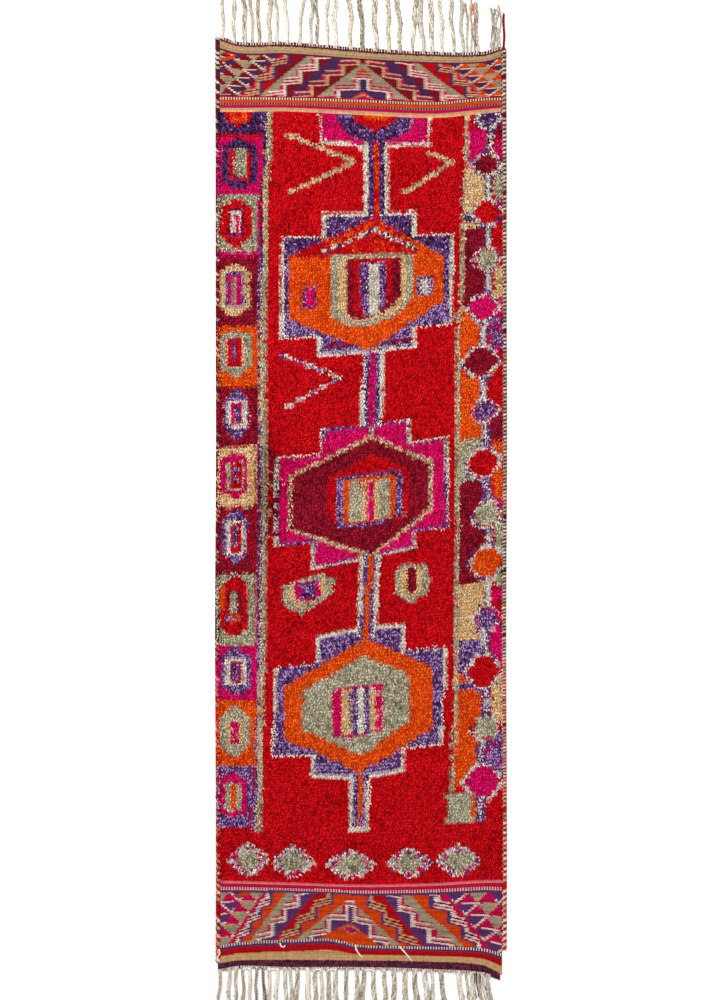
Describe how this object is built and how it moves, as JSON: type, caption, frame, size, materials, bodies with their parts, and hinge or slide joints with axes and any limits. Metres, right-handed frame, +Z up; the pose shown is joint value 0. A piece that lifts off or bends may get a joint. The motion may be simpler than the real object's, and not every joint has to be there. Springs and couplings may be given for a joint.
{
  "type": "hand-knotted rug",
  "caption": "Hand-knotted wool runner lying flat, with stepped medallions in a knotted pile field, flat-woven ends, overcast sides and a warp fringe at both ends.",
  "frame": {"origin": "middle of the runner's box, fringes included, on the floor face", "axes": "+Y along the runner towards the picture's top end, +Z up out of the pile, +X to the picture's right"},
  "size_m": [0.9556, 3.4162, 0.012],
  "materials": {
    "pile_red": "cut wool pile, madder red ground",
    "pile_burgundy": "cut wool pile, burgundy",
    "pile_magenta": "cut wool pile, magenta",
    "pile_orange": "cut wool pile, orange",
    "pile_violet": "cut wool pile, violet",
    "pile_sage": "cut wool pile, faded sage",
    "pile_tan": "cut wool pile, tan",
    "pile_ivory": "cut wool pile, ivory",
    "flatweave": "weft-faced wool flatweave, dull",
    "selvedge_yarn": "overcast wool yarn, dull",
    "twined_end": "twined aubergine wool, dull",
    "warp_yarn": "undyed wool warp, dull"
  },
  "bodies": {
    "root": {"rug_cloth": "pile_red", "selvedge_left": "selvedge_yarn", "selvedge_right": "selvedge_yarn", "fringe_top": "warp_yarn", "fringe_bottom": "warp_yarn"}
  },
  "joints": []
}
